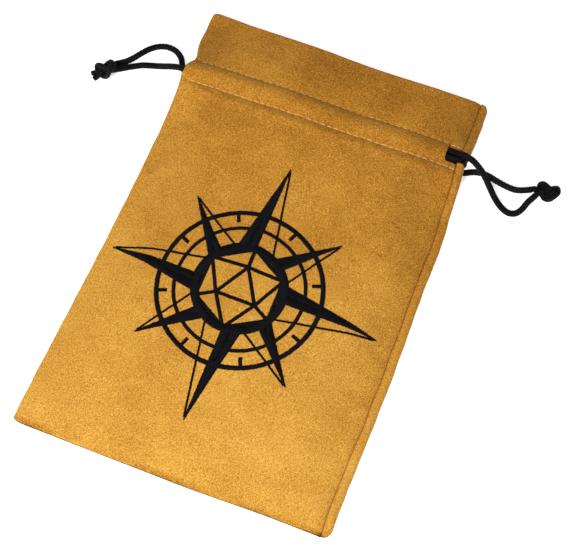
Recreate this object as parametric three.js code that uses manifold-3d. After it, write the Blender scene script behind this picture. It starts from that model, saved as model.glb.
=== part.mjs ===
// Drawstring dice bag, lying flat and empty on its back. Millimetres, +Z up.
// X runs across the bag, Y from the bottom seam to the mouth, and z = 0 is the surface it lies on.
import * as THREE from 'three';
import { mergeVertices } from 'three/addons/utils/BufferGeometryUtils.js';
import Module from 'manifold-3d';

const wasm = await Module();
wasm.setup();

// Cloth and clearances
const CLOTH = 0.6;
const GAP = 0.3;

// Outline of the flat bag
const HALF_WIDTH = 64;
const HALF_LENGTH = 99.5;
const FRONT_BOTTOM = -98.8;
const FOLD_DEPTH = 1.9;
const SEAM_X = 60.1;

// Heights of the front panel's outer face
const BODY_HEIGHT = 9.5;
const BODY_SIDE_HEIGHT = 4.2;
const HEADER_HEIGHT = 10.4;
const HEADER_SIDE_HEIGHT = 4.6;
const CHANNEL_HEIGHT = 13.3;
const BOTTOM_HEIGHT = 1.5;
const PLATEAU = 39.5;

// Mouth edges pull in towards the bottom where the bag is puffed
const FRONT_MOUTH_DIP = 3.4;
const BACK_MOUTH_DIP = 1.4;
const DIP_START = 78;

// Channel between two rows of stitching
const LOWER_ROW = 59.5;
const UPPER_ROW = 69.6;
const RAMP_START = 59.7;
const RAMP_LENGTH = 1.6;
const RAMP_END = 69.4;
const ROW_LIFT = 0.75;
const ROW_LIFT_REACH = 1.4;
const MOUTH_LOW = 60.2;
const MOUTH_HIGH = 69.0;
const RIGHT_FRONT_MOUTH = 54.6;

// Facings: the turned-in tops of the two panels
const FACING_LOW = 55.5;
const FACING_HALF_WIDTH = 60;
const FACING_FRONT_TOP = 9.5;
const FACING_PINCH_TOP = 7.3;
const FACING_BACK_RISE = 2.9;
const FACING_BACK_PINCH = 2.0;
const PINCH_START = 48;

// Drawstrings
const CORD = 2.6;
const CORD_SIDES = 8;
const FRONT_CORD_Z = 11.1;
const BACK_CORD_Z = 2.2;
const HIGH_CORD_Y = 66.4;
const LOW_CORD_Y = 63.4;
const FREE_START = 57.7;
const TAIL_INNER = 38;
const BEND_CENTRE = 58.1;
const BEND_START = 48;

// Embroidered badge
const BADGE_X = -2.8;
const BADGE_Y = -21.2;
const BADGE_THICK = 0.5;
const RING_OUTER = 33.6;
const RING_WIDTH = 1.8;
const INNER_RING_OUTER = 26.6;
const INNER_RING_WIDTH = 1.4;
const HUB_OUTER = 19.3;
const HUB_WIDTH = 3.4;
const LONG_POINT = 56;
const SHORT_POINT = 44;
const POINT_BASE = 17.5;
const LONG_HALF_BASE = 7.4;
const SHORT_HALF_BASE = 5.8;
const POINT_TIP = 0.35;
const OUTLINE_WIDTH = 0.9;
const LINE_WIDTH = 1.4;
const DIE_RADIUS = 17.4;
const DIE_FACE_RADIUS = 9.4;
const TICK_LENGTH = 3.2;

const STITCH_PITCH = 3;
const THREAD = 0.45;

const COLOURS = {
  cloth: { color: 0xc98d38, roughness: 0.95, metalness: 0 },
  facing: { color: 0xa8742c, roughness: 0.95, metalness: 0 },
  thread: { color: 0xe0bb78, roughness: 0.7, metalness: 0 },
  cord: { color: 0x121214, roughness: 0.6, metalness: 0 },
};

const object = new THREE.Group();

function add(name, geometry, kind) {
  const mesh = new THREE.Mesh(geometry, new THREE.MeshStandardMaterial(COLOURS[kind]));
  mesh.name = name;
  object.add(mesh);
  return mesh;
}

// ---- Shape functions of the lying bag ------------------------------------------------------

function smooth(low, high, value) {
  const u = Math.min(1, Math.max(0, (value - low) / (high - low)));
  return u * u * (3 - 2 * u);
}

function along(points, value) {
  const last = points.length - 1;
  if (value <= points[0][0]) {
    return points[0][1];
  }
  for (let i = 0; i < last; i += 1) {
    const [lowY, lowZ] = points[i];
    const [highY, highZ] = points[i + 1];
    if (value <= highY) {
      return lowZ + (highZ - lowZ) * (value - lowY) / (highY - lowY);
    }
  }
  return points[last][1];
}

// 1 over the flat middle of the bag, falling to 0 where the side fold starts
function lens(x) {
  return 1 - smooth(PLATEAU, HALF_WIDTH - FOLD_DEPTH, Math.abs(x));
}

// 1 along the channel, 0 on the header and the body
function channel(y) {
  const rise = Math.min(1, Math.max(0, (y - RAMP_START) / RAMP_LENGTH));
  const fall = Math.min(1, Math.max(0, (RAMP_END - y) / RAMP_LENGTH));
  return Math.min(rise, fall);
}

const BOTTOM_RISE = [[-98.8, BOTTOM_HEIGHT], [-97.5, 3.0], [-95, 4.6], [-88, 6.9], [-75, 8.9]];
const MIDDLE = [...BOTTOM_RISE, [-62, BODY_HEIGHT], [47, BODY_HEIGHT], [57, HEADER_HEIGHT]];
const SIDE_RISE = [[-98.8, BOTTOM_HEIGHT], [-97.5, 2.5], [-95, 3.5], [-89, BODY_SIDE_HEIGHT]];
const SIDE = [
  ...SIDE_RISE,
  [47, BODY_SIDE_HEIGHT],
  [52, 6.2],
  [58.5, HEADER_HEIGHT],
  [70.6, HEADER_HEIGHT],
  [76, 6.6],
  [82, HEADER_SIDE_HEIGHT],
];

function sideHeight(y) {
  return along(SIDE, y) + channel(y) * (CHANNEL_HEIGHT - HEADER_HEIGHT);
}

function frontTop(x, y) {
  const middle = along(MIDDLE, y) + channel(y) * (CHANNEL_HEIGHT - HEADER_HEIGHT);
  const side = sideHeight(y);
  return side + (middle - side) * lens(x);
}

// The back panel lifts off the surface along its two rows of stitching
function backLift(y) {
  const nearest = Math.min(Math.abs(y - LOWER_ROW), Math.abs(y - UPPER_ROW));
  return ROW_LIFT * (1 - smooth(0, ROW_LIFT_REACH, nearest));
}

function pinch(x) {
  return smooth(PINCH_START, FACING_HALF_WIDTH, Math.abs(x));
}

function frontFacingTop(x, y) {
  const side = Math.min(along(SIDE, y), FACING_PINCH_TOP + CLOTH + GAP);
  const open = side + (along(MIDDLE, y) - side) * lens(x) - CLOTH - GAP;
  const pinched = FACING_FRONT_TOP - (FACING_FRONT_TOP - FACING_PINCH_TOP) * pinch(x);
  return open + (pinched - open) * channel(y);
}

function backFacingBottom(x, y) {
  const rise = FACING_BACK_RISE + FACING_BACK_PINCH * pinch(x);
  return CLOTH + GAP + backLift(y) + rise * channel(y);
}

// ---- Solids --------------------------------------------------------------------------------

// One closed solid through a row of sections. A section is a closed loop of [x, y, z] points
// that goes out along one face and back along the other, so opposite points close its ends.
function loft(sections) {
  const count = sections[0].length;
  const positions = sections.flat(2);
  const indices = [];
  for (let j = 0; j < sections.length - 1; j += 1) {
    for (let i = 0; i < count; i += 1) {
      const a = j * count + i;
      const b = j * count + (i + 1) % count;
      indices.push(a, b, b + count, a, b + count, a + count);
    }
  }
  const end = (sections.length - 1) * count;
  for (let i = 0; i < count / 2 - 1; i += 1) {
    const [a, b, c, d] = [i, i + 1, count - 2 - i, count - 1 - i];
    indices.push(a, c, b, a, d, c);
    indices.push(end + a, end + b, end + c, end + a, end + c, end + d);
  }
  const geometry = new THREE.BufferGeometry();
  geometry.setAttribute('position', new THREE.Float32BufferAttribute(positions, 3));
  geometry.setIndex(indices);
  return outward(geometry);
}

// Turns every face over when the solid is inside out
function outward(geometry) {
  const position = geometry.attributes.position;
  const index = geometry.index;
  const corner = [new THREE.Vector3(), new THREE.Vector3(), new THREE.Vector3()];
  let volume = 0;
  for (let i = 0; i < index.count; i += 3) {
    corner.forEach((point, k) => point.fromBufferAttribute(position, index.getX(i + k)));
    volume += corner[0].dot(corner[1].clone().cross(corner[2]));
  }
  if (volume < 0) {
    for (let i = 0; i < index.count; i += 3) {
      const swap = index.getX(i + 1);
      index.setX(i + 1, index.getX(i + 2));
      index.setX(i + 2, swap);
    }
  }
  return geometry;
}

function toManifold(geometry) {
  const bare = geometry.clone();
  bare.deleteAttribute('normal');
  bare.deleteAttribute('uv');
  const merged = mergeVertices(bare, 1e-4);
  return new wasm.Manifold(new wasm.Mesh({
    numProp: 3,
    vertProperties: new Float32Array(merged.attributes.position.array),
    triVerts: new Uint32Array(merged.index.array),
  }));
}

function fromManifold(solid) {
  const mesh = solid.getMesh();
  const geometry = new THREE.BufferGeometry();
  geometry.setAttribute('position', new THREE.Float32BufferAttribute(mesh.vertProperties, 3));
  geometry.setIndex([...mesh.triVerts]);
  return geometry;
}

function box(low, high) {
  const size = high.map((value, k) => value - low[k]);
  const geometry = new THREE.BoxGeometry(...size);
  geometry.translate(...low.map((value, k) => value + size[k] / 2));
  return geometry;
}

function cut(geometry, boxes) {
  let solid = toManifold(geometry);
  for (const [low, high] of boxes) {
    solid = solid.subtract(toManifold(box(low, high)));
  }
  return fromManifold(solid);
}

// ---- Panels --------------------------------------------------------------------------------

const BODY_STATIONS = [-96.2, -95, -92, -89, -82, -75, -68, -62, -20, 20, 47, 49.5, 52, 55, 57];
const CHANNEL_STATIONS = [58.5, 59.3, 59.7, 60.1, 60.9, 61.3, 67.8, 68.2, 69, 69.4, 69.8, 70.6];
const HEADER_STATIONS = [73, 76, 79, 82, 88, 94, HALF_LENGTH];
const STATIONS = [...BODY_STATIONS, ...CHANNEL_STATIONS, ...HEADER_STATIONS];
const CREST = [39.5, 42.5, 46, 49, 52, 55, 58];
const FOLD_STEPS = 6;
const SLOPE_STEP = 0.35;
const BOTTOM_ROLL = 2;
const FIRST_STEP = 1.3;

// Station y moved down where the mouth edge dips in the middle
function mouthY(x, y, dip) {
  return y - dip * lens(x) * smooth(DIP_START, HALF_LENGTH, y);
}

// Face point and the point one cloth thickness below it, square to the slope along Y
function facePair(x, y, dip) {
  const slope = (frontTop(x, y + SLOPE_STEP) - frontTop(x, y - SLOPE_STEP)) / (2 * SLOPE_STEP);
  const steep = Math.hypot(1, slope);
  const z = frontTop(x, y);
  const low = y < FRONT_BOTTOM + BOTTOM_ROLL ? 0 : CLOTH * slope / steep;
  const drop = y < FRONT_BOTTOM + BOTTOM_ROLL ? CLOTH : CLOTH / steep;
  const faceY = mouthY(x, y, dip);
  return [[x, faceY, z], [x, faceY + low, z - drop]];
}

// Side fold from the top (turn = 90) round to the underside (turn = -90)
function foldPair(side, turn, y, dip) {
  const angle = turn * Math.PI / 180;
  const half = sideHeight(y) / 2;
  const centre = HALF_WIDTH - FOLD_DEPTH;
  const faceY = mouthY(HALF_WIDTH, y, dip);
  const at = (reach, rise) => [
    side * (centre + reach * Math.cos(angle)),
    faceY,
    half + rise * Math.sin(angle),
  ];
  return [at(FOLD_DEPTH, half), at(FOLD_DEPTH - CLOTH, half - CLOTH)];
}

function underPair(x, y, dip) {
  const faceY = mouthY(x, y, dip);
  const lift = Math.abs(x) > SEAM_X ? 0 : backLift(y);
  return [[x, faceY, lift], [x, faceY, lift + CLOTH]];
}

function ringToLoop(pairs) {
  const outer = pairs.map((pair) => pair[0]);
  const inner = pairs.map((pair) => pair[1]).reverse();
  return [...outer, ...inner];
}

function foldTurns(from, to) {
  return Array.from({ length: FOLD_STEPS + 1 }, (_, i) => from + (to - from) * i / FOLD_STEPS);
}

// The front panel covers the front and wraps the left edge, with its left seam underneath
function frontSection(y) {
  const crest = [...CREST.map((x) => -x).reverse(), 0, ...CREST, SEAM_X];
  const pairs = [
    underPair(-SEAM_X, y, 0),
    ...foldTurns(-90, 90).map((turn) => foldPair(-1, turn, y, 0)),
    ...crest.map((x) => facePair(x, y, FRONT_MOUTH_DIP)),
  ];
  return ringToLoop(pairs);
}

// The back panel covers the back and wraps the right edge, with its right seam on the front
function backSection(y) {
  const floor = [SEAM_X, 40, 0, -40, GAP - SEAM_X];
  const pairs = [
    facePair(SEAM_X + GAP, y, 0),
    ...foldTurns(90, -90).map((turn) => foldPair(1, turn, y, 0)),
    ...floor.map((x) => underPair(x, y, BACK_MOUTH_DIP)),
  ];
  return ringToLoop(pairs);
}

function panel(section, lowest) {
  return loft([lowest, lowest + FIRST_STEP, ...STATIONS].map(section));
}

const MOUTH_TOP = 20;
const frontCuts = [
  [[-HALF_WIDTH - 1, MOUTH_LOW, -1], [FOLD_DEPTH - HALF_WIDTH, MOUTH_HIGH, MOUTH_TOP]],
  [[RIGHT_FRONT_MOUTH, MOUTH_LOW, -1], [HALF_WIDTH, MOUTH_HIGH, MOUTH_TOP]],
];
const backCuts = [
  [[HALF_WIDTH - FOLD_DEPTH, MOUTH_LOW, -1], [HALF_WIDTH + 1, MOUTH_HIGH, MOUTH_TOP]],
  [[SEAM_X - 1, MOUTH_LOW, 1], [HALF_WIDTH, MOUTH_HIGH, MOUTH_TOP]],
];
add('front_panel', cut(panel(frontSection, FRONT_BOTTOM), frontCuts), 'cloth');
add('back_panel', cut(panel(backSection, -HALF_LENGTH), backCuts), 'cloth');

// ---- Facings: one layer inside each panel from the mouth to just below the lower row --------

const FACING_STATIONS = [FACING_LOW, 57, ...CHANNEL_STATIONS, 76, 82, 90, HALF_LENGTH - GAP - CLOTH];
const FACING_X = [0, 39.5, 44, 48, 51, 54, 57, FACING_HALF_WIDTH];

function facing(bottomAt, dip) {
  const xs = [...FACING_X.slice(1).map((x) => -x).reverse(), ...FACING_X];
  const sections = FACING_STATIONS.map((y) => ringToLoop(xs.map((x) => {
    const faceY = mouthY(x, y, dip);
    const bottom = bottomAt(x, y);
    return [[x, faceY, bottom + CLOTH], [x, faceY, bottom]];
  })));
  return loft(sections);
}

add('front_facing', facing((x, y) => frontFacingTop(x, y) - CLOTH, FRONT_MOUTH_DIP), 'facing');
add('back_facing', facing(backFacingBottom, BACK_MOUTH_DIP), 'facing');

// ---- Seams: turned-in allowances and the threads that close them ----------------------------

const ALLOWANCE_LOW = 0.9;
const ALLOWANCE_HIGH = 2.1;
const SEAM_THREAD_LOW = 2.4;
const SIDE_ALLOWANCE = { inner: 53.5, outer: 59.5, low: -87, high: 54 };
const BOTTOM_ALLOWANCE = { half: 47, low: -96, high: -90 };

// A straight run of thread with one crown for each stitch, made along X
function threadRun(length, pitch) {
  const stitches = Math.round(length / pitch);
  const step = length / stitches;
  const outline = new THREE.Shape();
  outline.moveTo(0, 0);
  outline.lineTo(length, 0);
  for (let i = stitches; i > 0; i -= 1) {
    outline.lineTo(i * step, THREAD * 0.45);
    outline.lineTo((i - 0.5) * step, THREAD);
  }
  outline.lineTo(0, THREAD * 0.45);
  outline.closePath();
  const run = new THREE.ExtrudeGeometry(outline, { depth: THREAD, bevelEnabled: false });
  run.rotateX(Math.PI / 2);
  run.translate(0, THREAD / 2, 0);
  return run;
}

for (const [name, side] of [['left', -1], ['right', 1]]) {
  const { inner, outer, low, high } = SIDE_ALLOWANCE;
  const edges = [side * inner, side * outer].sort((a, b) => a - b);
  const strip = box([edges[0], low, ALLOWANCE_LOW], [edges[1], high, ALLOWANCE_HIGH]);
  add(`${name}_seam_allowance`, strip, 'cloth');
  const thread = add(`${name}_seam_thread`, threadRun(high - low, STITCH_PITCH), 'thread');
  thread.rotation.z = Math.PI / 2;
  thread.position.set(side * (outer - 1), low, SEAM_THREAD_LOW);
}

const bottomStrip = box(
  [-BOTTOM_ALLOWANCE.half, BOTTOM_ALLOWANCE.low, ALLOWANCE_LOW],
  [BOTTOM_ALLOWANCE.half, BOTTOM_ALLOWANCE.high, ALLOWANCE_HIGH],
);
add('bottom_seam_allowance', bottomStrip, 'cloth');
const bottomThread = add(
  'bottom_seam_thread',
  threadRun(2 * BOTTOM_ALLOWANCE.half, STITCH_PITCH),
  'thread',
);
bottomThread.position.set(-BOTTOM_ALLOWANCE.half, BOTTOM_ALLOWANCE.low + 1, SEAM_THREAD_LOW);

// ---- Channel stitching: two rows on the front and two on the back ---------------------------

const ROW_HALF = 59.5;
for (const [name, y] of [['lower', LOWER_ROW], ['upper', UPPER_ROW]]) {
  const front = add(`front_${name}_stitch_row`, threadRun(2 * ROW_HALF, STITCH_PITCH), 'thread');
  front.position.set(-ROW_HALF, y, HEADER_HEIGHT + GAP);
  const back = add(`back_${name}_stitch_row`, threadRun(2 * ROW_HALF - 1, STITCH_PITCH), 'thread');
  back.rotation.x = Math.PI;
  back.position.set(0.5 - ROW_HALF, y, ROW_LIFT - GAP);
}

// ---- Embroidered badge on the front panel ---------------------------------------------------

// A ribbon of stitching between two lines, laid over the front panel; ends are [x, y] pairs
function ribbon(leftLine, rightLine, steps, closed) {
  const sections = [];
  const count = closed ? steps : steps + 1;
  for (let i = 0; i < count; i += 1) {
    const left = leftLine(i / steps);
    const right = rightLine(i / steps);
    const raised = [left, right].map(([x, y]) => [
      x + BADGE_X,
      y + BADGE_Y,
      frontTop(x + BADGE_X, y + BADGE_Y) + GAP,
    ]);
    const tops = raised.map(([x, y, z]) => [x, y, z + BADGE_THICK]);
    sections.push([raised[0], raised[1], tops[1], tops[0]]);
  }
  return closed ? closedRibbon(sections) : loft(sections);
}

function closedRibbon(sections) {
  const count = 4;
  const total = sections.length * count;
  const indices = [];
  for (let j = 0; j < sections.length; j += 1) {
    for (let i = 0; i < count; i += 1) {
      const a = j * count + i;
      const b = j * count + (i + 1) % count;
      const c = (b + count) % total;
      const d = (a + count) % total;
      indices.push(a, b, c, a, c, d);
    }
  }
  const geometry = new THREE.BufferGeometry();
  geometry.setAttribute('position', new THREE.Float32BufferAttribute(sections.flat(2), 3));
  geometry.setIndex(indices);
  return outward(geometry);
}

function polar(radius, degrees) {
  const angle = degrees * Math.PI / 180;
  return [radius * Math.cos(angle), radius * Math.sin(angle)];
}

function ringRibbon(outer, width, steps) {
  const line = (radius) => (u) => polar(radius, 360 * u);
  return ribbon(line(outer - width), line(outer), steps, true);
}

function mix(from, to, u) {
  return from.map((value, k) => value + (to[k] - value) * u);
}

function bar(from, to, width, steps) {
  const length = Math.hypot(to[0] - from[0], to[1] - from[1]);
  const across = [(from[1] - to[1]) / length * width / 2, (to[0] - from[0]) / length * width / 2];
  const line = (side) => (u) => mix(from, to, u).map((value, k) => value + side * across[k]);
  return ribbon(line(1), line(-1), steps, false);
}

// One point of the star: a filled half and the outline of the other half
function starPoint(degrees, length, halfBase, steps) {
  const turn = (radius, offset) => {
    const [x, y] = polar(radius, degrees);
    const [sideX, sideY] = polar(offset, degrees + 90);
    return [x + sideX, y + sideY];
  };
  const axis = (u) => turn(POINT_BASE + (length - POINT_BASE) * u, -POINT_TIP / 2);
  const half = (u) => halfBase * (1 - u) + POINT_TIP / 2;
  const edge = (u) => turn(POINT_BASE + (length - POINT_BASE) * u, half(u));
  const outlineFrom = turn(POINT_BASE, -halfBase);
  const outlineTo = turn(length - 1, -POINT_TIP);
  return [ribbon(axis, edge, steps, false), bar(outlineFrom, outlineTo, OUTLINE_WIDTH, steps)];
}

// A twenty-faced die seen face-on: a hexagon, one triangular face and the lines joining them
function dieLines() {
  const corners = [90, 150, 210, 270, 330, 30].map((angle) => polar(DIE_RADIUS, angle));
  const face = [90, 210, 330].map((angle) => polar(DIE_FACE_RADIUS, angle));
  const lines = [];
  corners.forEach((corner, i) => lines.push([corner, corners[(i + 1) % corners.length]]));
  face.forEach((corner, i) => {
    const near = 2 * i;
    lines.push([corner, face[(i + 1) % face.length]]);
    lines.push([corner, corners[near]]);
    lines.push([corner, corners[(near + 1) % corners.length]]);
    lines.push([corner, corners[(near + 5) % corners.length]]);
  });
  return lines.map(([from, to]) => bar(from, to, LINE_WIDTH, 2));
}

function badge() {
  const pieces = [
    ringRibbon(RING_OUTER, RING_WIDTH, 48),
    ringRibbon(INNER_RING_OUTER, INNER_RING_WIDTH, 44),
    ringRibbon(HUB_OUTER, HUB_WIDTH, 40),
  ];
  for (let i = 0; i < 4; i += 1) {
    pieces.push(...starPoint(90 * i, LONG_POINT, LONG_HALF_BASE, 10));
    pieces.push(...starPoint(90 * i + 45, SHORT_POINT, SHORT_HALF_BASE, 3));
  }
  for (let i = 0; i < 8; i += 1) {
    const degrees = 22.5 + 45 * i;
    const inner = RING_OUTER - RING_WIDTH - TICK_LENGTH;
    pieces.push(bar(polar(RING_OUTER - RING_WIDTH / 2, degrees), polar(inner, degrees), LINE_WIDTH, 1));
  }
  pieces.push(...dieLines());
  return fromManifold(pieces.map(toManifold).reduce((whole, piece) => whole.add(piece)));
}

add('embroidered_badge', badge(), 'cord');

// ---- Drawstrings ----------------------------------------------------------------------------

function cordTube(points, steps) {
  const curve = new THREE.CatmullRomCurve3(
    points.map((point) => new THREE.Vector3(...point)),
    false,
    'centripetal',
  );
  const section = new THREE.Shape();
  for (let i = 0; i < CORD_SIDES; i += 1) {
    const angle = 2 * Math.PI * (i + 0.5) / CORD_SIDES;
    const corner = [CORD / 2 * Math.cos(angle), CORD / 2 * Math.sin(angle)];
    if (i === 0) {
      section.moveTo(...corner);
    } else {
      section.lineTo(...corner);
    }
  }
  section.closePath();
  return new THREE.ExtrudeGeometry(section, { steps, extrudePath: curve, bevelEnabled: false });
}

// Free strands, from inside the channel's end to the knot
const LEFT_FRONT_ROUTE = [
  [-57.7, 63.4, 11.1],
  [-61.5, 63.4, 11.1],
  [-65.3, 63.4, 10.7],
  [-69.0, 63.6, 8.9],
  [-72.4, 64.2, 6.3],
  [-75.7, 64.9, 3.7],
  [-79.2, 65.1, 1.9],
  [-83.0, 64.1, 1.5],
  [-86.4, 62.1, 1.6],
  [-89.0, 59.9, 2.3],
  [-90.9, 58.0, 3.1],
];
const LEFT_BACK_ROUTE = [
  [-57.7, 66.4, 2.2],
  [-61.3, 66.4, 2.0],
  [-64.4, 67.4, 1.7],
  [-66.8, 70.4, 1.5],
  [-69.0, 73.9, 1.4],
  [-72.6, 76.3, 1.4],
  [-76.7, 76.8, 1.4],
  [-80.4, 75.6, 1.4],
  [-83.6, 73.0, 1.4],
  [-86.2, 69.5, 1.4],
  [-88.2, 66.2, 1.5],
  [-90.3, 63.0, 2.1],
  [-92.9, 60.2, 3.0],
];
const RIGHT_FRONT_ROUTE = [
  [57.7, 66.4, 11.1],
  [61.5, 66.4, 11.1],
  [65.0, 66.3, 10.2],
  [67.8, 66.0, 8.0],
  [70.2, 65.4, 5.7],
  [72.6, 64.1, 3.8],
  [75.4, 61.6, 2.2],
  [79.2, 57.6, 1.4],
  [82.8, 54.5, 1.4],
  [86.3, 53.1, 1.4],
  [89.2, 54.0, 1.4],
  [91.1, 56.8, 1.5],
  [92.2, 59.9, 2.1],
  [93.6, 62.4, 2.9],
];
const RIGHT_BACK_ROUTE = [
  [57.7, 63.4, 2.2],
  [61.0, 63.4, 1.9],
  [64.0, 64.3, 1.6],
  [66.9, 65.9, 1.4],
  [70.2, 66.8, 1.4],
  [73.6, 66.6, 1.4],
  [77.4, 65.6, 1.4],
  [81.6, 64.7, 1.4],
  [86.0, 64.4, 1.5],
  [89.5, 65.1, 2.3],
  [92.6, 66.3, 3.1],
];

// Straight length that lies in the channel and follows its knot out
function tailRoute(side, y, z) {
  return [[side * (FREE_START - GAP), y, z], [-side * TAIL_INNER, y, z]];
}

// Fixed length of a cord: through the far end of the front channel, round the side of the
// facings and back into the back channel. "side" is where its knot is.
function runRoute(side, frontY, backY) {
  const far = -side;
  const start = TAIL_INNER + GAP;
  const middleZ = (FRONT_CORD_Z + BACK_CORD_Z) / 2;
  const radius = (FRONT_CORD_Z - BACK_CORD_Z) / 2;
  const points = [[far * start, frontY, FRONT_CORD_Z], [far * BEND_START, frontY, FRONT_CORD_Z]];
  const turns = 8;
  for (let i = 0; i <= turns; i += 1) {
    const angle = Math.PI * (0.5 - i / turns);
    points.push([
      far * (BEND_CENTRE + radius * Math.cos(angle)),
      frontY + (backY - frontY) * smooth(0, turns, i),
      middleZ + radius * Math.sin(angle),
    ]);
  }
  points.push([far * BEND_START, backY, BACK_CORD_Z], [far * start, backY, BACK_CORD_Z]);
  return points;
}

// A pulled-tight overhand knot in both ends: an oval body with a wrap round it and short ends
const KNOT_HALF = [4.8, 3.8, 3.3];
const KNOT_Z = 3.35;
const WRAP_RADIUS = 2.6;
const WRAP_THICK = 1.0;
const WRAP_LEAN = 0.35;
const END_RADIUS = 1.18;
const END_SPREAD = 0.35;
const END_DROP = 1.6;

function knot(endLength) {
  const body = new THREE.SphereGeometry(1, 14, 10);
  body.scale(...KNOT_HALF);
  const wrap = new THREE.TorusGeometry(WRAP_RADIUS, WRAP_THICK, 8, 16);
  wrap.rotateY(Math.PI / 2);
  wrap.rotateZ(WRAP_LEAN);
  wrap.scale(1, 1.02, 0.88);
  let solid = toManifold(body).add(toManifold(wrap));
  const length = KNOT_HALF[0] + endLength;
  for (const spread of [-END_SPREAD, END_SPREAD]) {
    const end = new THREE.CylinderGeometry(END_RADIUS, END_RADIUS, length, CORD_SIDES);
    end.rotateZ(Math.PI / 2);
    end.translate(length / 2, 0, 0);
    end.rotateZ(spread);
    end.translate(0, 0, -END_DROP);
    solid = solid.add(toManifold(end));
  }
  return fromManifold(solid);
}

const CORDS = [
  {
    name: 'left',
    side: -1,
    frontY: LOW_CORD_Y,
    backY: HIGH_CORD_Y,
    routes: { front: LEFT_FRONT_ROUTE, back: LEFT_BACK_ROUTE },
    knot: { x: -95.2, y: 55.0, turn: 208, ends: 2.6 },
  },
  {
    name: 'right',
    side: 1,
    frontY: HIGH_CORD_Y,
    backY: LOW_CORD_Y,
    routes: { front: RIGHT_FRONT_ROUTE, back: RIGHT_BACK_ROUTE },
    knot: { x: 98.4, y: 66.2, turn: 6, ends: 0.6 },
  },
];

for (const cord of CORDS) {
  for (const [layer, y, z] of [['front', cord.frontY, FRONT_CORD_Z], ['back', cord.backY, BACK_CORD_Z]]) {
    add(`${cord.name}_cord_${layer}_strand`, cordTube(cord.routes[layer], 14), 'cord');
    add(`${cord.name}_cord_${layer}_tail`, cordTube(tailRoute(cord.side, y, z), 2), 'cord');
  }
  add(`${cord.name}_cord_run`, cordTube(runRoute(cord.side, cord.frontY, cord.backY), 26), 'cord');
  const tied = add(`${cord.name}_cord_knot`, knot(cord.knot.ends), 'cord');
  tied.rotation.z = cord.knot.turn * Math.PI / 180;
  tied.position.set(cord.knot.x, cord.knot.y, KNOT_Z);
}

export default object;
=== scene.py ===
"""Drawstring dice bag lying flat on its back: the looks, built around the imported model.

Shapes are worked out in millimetres in the model's own frame (X across the bag, Y from the
bottom seam to the mouth, z = 0 the surface it lies on) and written to Blender in metres.
"""
import math

import bpy
import numpy as np
from mathutils import Matrix, Vector


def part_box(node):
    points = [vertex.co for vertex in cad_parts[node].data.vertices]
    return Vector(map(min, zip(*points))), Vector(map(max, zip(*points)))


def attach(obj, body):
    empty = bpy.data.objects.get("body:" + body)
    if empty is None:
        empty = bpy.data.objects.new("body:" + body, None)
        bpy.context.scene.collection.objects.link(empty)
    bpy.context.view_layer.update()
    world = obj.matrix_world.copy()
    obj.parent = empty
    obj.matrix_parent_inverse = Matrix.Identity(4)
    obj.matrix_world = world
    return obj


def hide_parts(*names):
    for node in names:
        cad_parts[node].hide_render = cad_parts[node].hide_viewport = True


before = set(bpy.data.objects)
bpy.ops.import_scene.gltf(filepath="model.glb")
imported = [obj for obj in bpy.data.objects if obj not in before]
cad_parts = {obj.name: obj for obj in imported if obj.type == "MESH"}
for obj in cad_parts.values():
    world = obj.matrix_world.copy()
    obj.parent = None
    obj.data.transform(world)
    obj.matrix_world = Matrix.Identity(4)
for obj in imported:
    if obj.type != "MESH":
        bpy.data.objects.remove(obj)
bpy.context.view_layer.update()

MM = 0.001
RNG = np.random.default_rng(20)

# ---- Driving dimensions, as in the model (millimetres) ----

CLOTH = 0.6
GAP = 0.3
HALF_WIDTH = 64.0
HALF_LENGTH = 99.5
FOLD_DEPTH = 1.9
SEAM_X = 60.1
PLATEAU = 39.5
CHANNEL_RISE = 2.5
LOWER_ROW = 59.5
UPPER_ROW = 69.6
ROW_END = 59.5
RIGHT_FRONT_MOUTH = 54.6
FRONT_MOUTH_DIP = 3.4
BACK_MOUTH_DIP = 1.4
DIP_START = 78.0
FACING_HALF_WIDTH = 60.0
FACING_LOW = 55.5
PINCH_START = 48.0
STITCH_PITCH = 3.0
CORD = 2.6
BRAID_CARRIERS = 6
BRAID_REPEAT = 1.6

# ---- Camera ----

CAMERA_AT = Vector((0.0706, -0.1712, 0.4106))
CAMERA_AIM = Vector((0.0102, -0.0057, 0.0))
CAMERA_LENS = 70.2
CAMERA_ROLL = math.radians(-1.1)


def make_camera():
    data = bpy.data.cameras.new("camera")
    data.lens = CAMERA_LENS
    data.clip_start = 0.01
    camera = bpy.data.objects.new("camera", data)
    bpy.context.scene.collection.objects.link(camera)
    forward = (CAMERA_AIM - CAMERA_AT).normalized()
    right = forward.cross(Vector((0, 0, 1))).normalized()
    up = right.cross(forward)
    rolled_up = up * math.cos(CAMERA_ROLL) + right * math.sin(CAMERA_ROLL)
    rolled_right = forward.cross(rolled_up)
    turn = Matrix((rolled_right, rolled_up, -forward)).transposed()
    camera.matrix_world = Matrix.Translation(CAMERA_AT) @ turn.to_4x4()
    bpy.context.scene.camera = camera


make_camera()

# ---- Materials ----


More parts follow.
